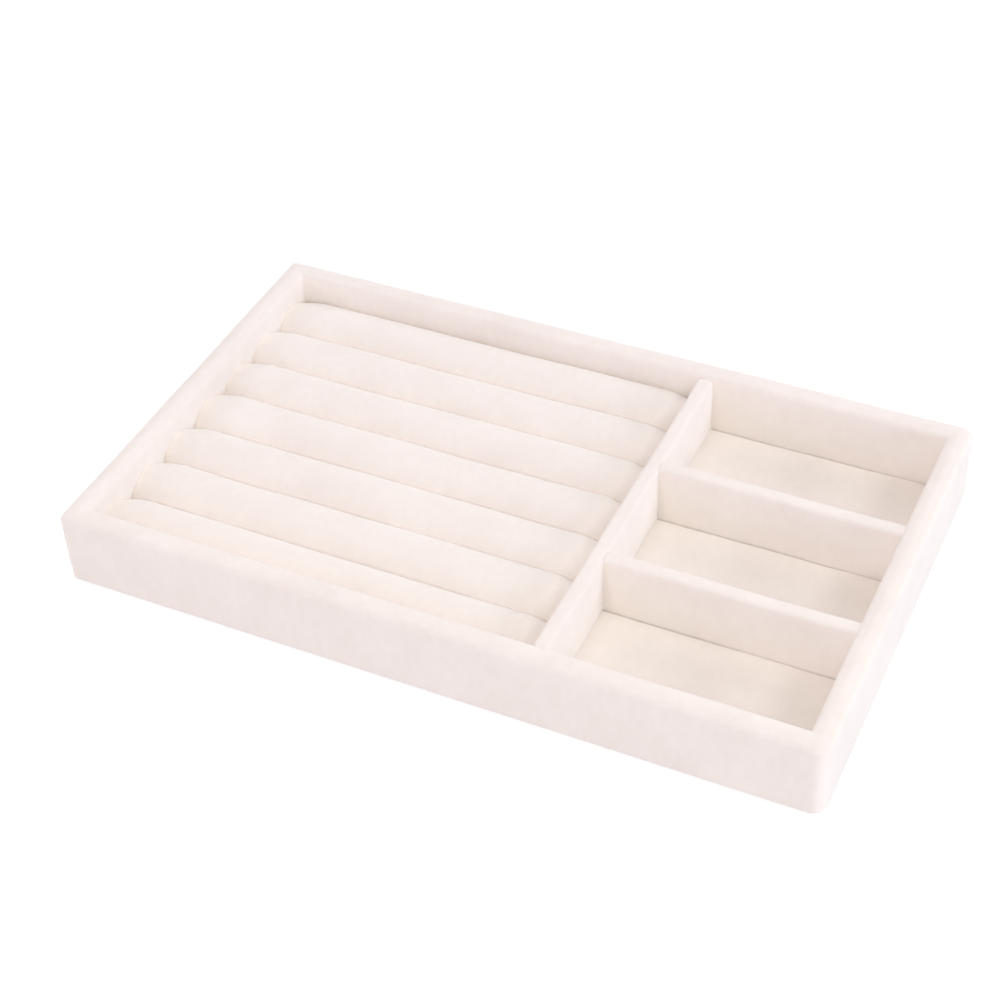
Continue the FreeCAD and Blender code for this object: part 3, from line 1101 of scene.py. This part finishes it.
@dataclass
class Studio:
    """White sweep and a bright surround, with soft lamps in front, on both sides and behind."""

    surround: float = 0.24
    surround_colour: Colour = (1.03, 1.0, 1.05)
    lamps: tuple[Lamp, ...] = (
        Lamp("camera_fill", (0.30, -0.65, 0.70), 0.6, 0.80, Tint.WARM),
        Lamp("high_front_fill", (0.0, -0.70, 1.05), 0.6, 3.20, Tint.WARM),
        Lamp("low_front_fill", (0.05, -1.15, 0.35), 0.6, 1.50, Tint.MAUVE),
        Lamp("high_left_fill", (-0.70, -0.55, 0.85), 0.3, 0.80, Tint.ROSE),
        Lamp("low_left_fill", (-0.95, -0.50, 0.55), 0.25, 1.35, Tint.ROSE),
        Lamp("high_right_key", (0.88, 0.0, 0.88), 0.3, 2.18, Tint.PLAIN),
        Lamp("low_right_key", (1.20, 0.0, 0.35), 0.4, 4.65, Tint.COOL),
        Lamp("rear_light", (0.0, 0.85, 0.90), 0.5, 2.9, Tint.COOL),
        Lamp("low_rear_fill", (-0.85, 1.0, 0.25), 0.5, 2.2, Tint.WARM),
    )
    floor_half: float = 4.0
    floor_drop: float = 0.2 * MM
    floor_colour: Colour = (0.86, 0.86, 0.86)
    floor_roughness: float = 0.9
    floor_glow: float = 1.15
    glow_share: float = 0.72

    @staticmethod
    def seen(nodes: bpy.types.Nodes, links: bpy.types.NodeLinks) -> bpy.types.NodeSocket:
        """Adds a factor that is 1 where the camera, a gloss or a glass looks.

        Args:
            nodes: the tree's nodes.
            links: the tree's links.

        Returns:
            The factor.
        """
        path = nodes.new("ShaderNodeLightPath")
        total = path.outputs["Is Camera Ray"]
        for kind in ("Is Glossy Ray", "Is Transmission Ray"):
            both = nodes.new("ShaderNodeMath")
            both.operation = "MAXIMUM"
            links.new(total, both.inputs[0])
            links.new(path.outputs[kind], both.inputs[1])
            total = both.outputs[0]
        return total

    def light_world(self) -> None:
        """Surrounds the tray with even white light, and shows plain white behind it."""
        world = bpy.data.worlds.new("white_surround")
        bpy.context.scene.world = world
        world.use_nodes = True
        nodes, links = world.node_tree.nodes, world.node_tree.links
        lit = nodes["Background"]
        lit.inputs["Color"].default_value = (*self.surround_colour, 1.0)
        lit.inputs["Strength"].default_value = self.surround
        shown = nodes.new("ShaderNodeBackground")
        shown.inputs["Color"].default_value = (1.0, 1.0, 1.0, 1.0)
        shown.inputs["Strength"].default_value = 1.0
        choice = nodes.new("ShaderNodeMixShader")
        links.new(self.seen(nodes, links), choice.inputs["Fac"])
        links.new(lit.outputs["Background"], choice.inputs[1])
        links.new(shown.outputs["Background"], choice.inputs[2])
        links.new(choice.outputs["Shader"], nodes["World Output"].inputs["Surface"])

    def lay_floor(self) -> None:
        """Lays the white floor, which keeps a faint shadow of the tray."""
        reach = self.floor_half
        corners = [(-reach, -reach, -self.floor_drop), (reach, -reach, -self.floor_drop)]
        corners += [(reach, reach, -self.floor_drop), (-reach, reach, -self.floor_drop)]
        mesh = bpy.data.meshes.new("studio_floor")
        mesh.from_pydata(corners, [], [(0, 1, 2, 3)])
        floor = bpy.data.objects.new("studio_floor", mesh)
        bpy.context.collection.objects.link(floor)
        paper = bpy.data.materials.new("white_sweep")
        paper.use_nodes = True
        nodes, links = paper.node_tree.nodes, paper.node_tree.links
        surface = nodes["Principled BSDF"]
        surface.inputs["Base Color"].default_value = (*self.floor_colour, 1.0)
        surface.inputs["Roughness"].default_value = self.floor_roughness
        surface.inputs["Specular IOR Level"].default_value = 0.0
        glow = nodes.new("ShaderNodeEmission")
        glow.inputs["Strength"].default_value = self.floor_glow
        share = nodes.new("ShaderNodeMath")
        share.operation = "MULTIPLY"
        share.inputs[1].default_value = self.glow_share
        choice = nodes.new("ShaderNodeMixShader")
        links.new(self.seen(nodes, links), share.inputs[0])
        links.new(share.outputs[0], choice.inputs["Fac"])
        links.new(surface.outputs["BSDF"], choice.inputs[1])
        links.new(glow.outputs["Emission"], choice.inputs[2])
        links.new(choice.outputs["Shader"], nodes["Material Output"].inputs["Surface"])
        mesh.materials.append(paper)

    def build(self) -> None:
        """Sets up the surround, the floor and the lamps."""
        bpy.context.scene.view_settings.view_transform = "Standard"
        self.light_world()
        self.lay_floor()
        for lamp in self.lamps:
            lamp.hang()


@dataclass
class PhotoCamera:
    """Camera above the tray's right front corner, turned slightly about its own axis."""

    place: Place = (0.25234, -0.52264, 0.53228)
    target: Place = (-0.01260, 0.00483, 0.01000)
    roll: float = -2.68
    lens: float = 72.775
    sensor: float = 36.0
    nearest: float = 0.05

    def build(self) -> None:
        """Sets the camera up and makes it the scene's own."""
        data = bpy.data.cameras.new("photo_camera")
        data.lens = self.lens
        data.sensor_width = self.sensor
        data.clip_start = self.nearest
        camera = bpy.data.objects.new("photo_camera", data)
        bpy.context.collection.objects.link(camera)
        sight = (Vector(self.target) - Vector(self.place)).to_track_quat("-Z", "Y")
        turn = Matrix.Rotation(math.radians(self.roll), 4, "Z")
        camera.matrix_world = Matrix.Translation(self.place) @ sight.to_matrix().to_4x4() @ turn
        bpy.context.scene.camera = camera
        log.info("camera: %.1f mm lens", self.lens)


def main() -> None:
    """Builds the sub-assemblies in order, then the studio and the camera."""
    logging.basicConfig(level=logging.INFO, format="%(name)s: %(message)s")
    wrap_low, wrap_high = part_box("outer_wrap")
    front_low, front_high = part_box("front_wall_board")
    velvet = front_low.y - wrap_low.y
    wall, inside_foot = front_high.y - wrap_low.y + velvet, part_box("base_board")[1].z
    OuterWrap(wrap_low, wrap_high, wall, inside_foot).build()
    for name, run, near_round, far_round, seed in (
        ("long_divider", Run.ALONG_Y, 1.2 * MM, 2.2 * MM, 21),
        ("front_cross", Run.ALONG_X, 0.5 * MM, 0.2 * MM, 31),
        ("rear_cross", Run.ALONG_X, 0.5 * MM, 0.2 * MM, 41),
    ):
        Divider(name, *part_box(f"{name}_velvet"), run, near_round, far_round, seed).build()
    for seed, name in enumerate(("front", "middle", "rear"), start=51):
        FloorPad(name, *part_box(f"{name}_pad_velvet"), seed).build()
    for number in range(1, ROLL_COUNT + 1):
        room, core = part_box(f"ring_roll_velvet_{number}"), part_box(f"ring_roll_core_{number}")
        RingRoll(number, *room, *core).build()
    BaseSheet(*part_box("base_sheet")).build()
    Carcass().dress()
    Studio().build()
    PhotoCamera().build()


if __name__ == "__main__":
    main()
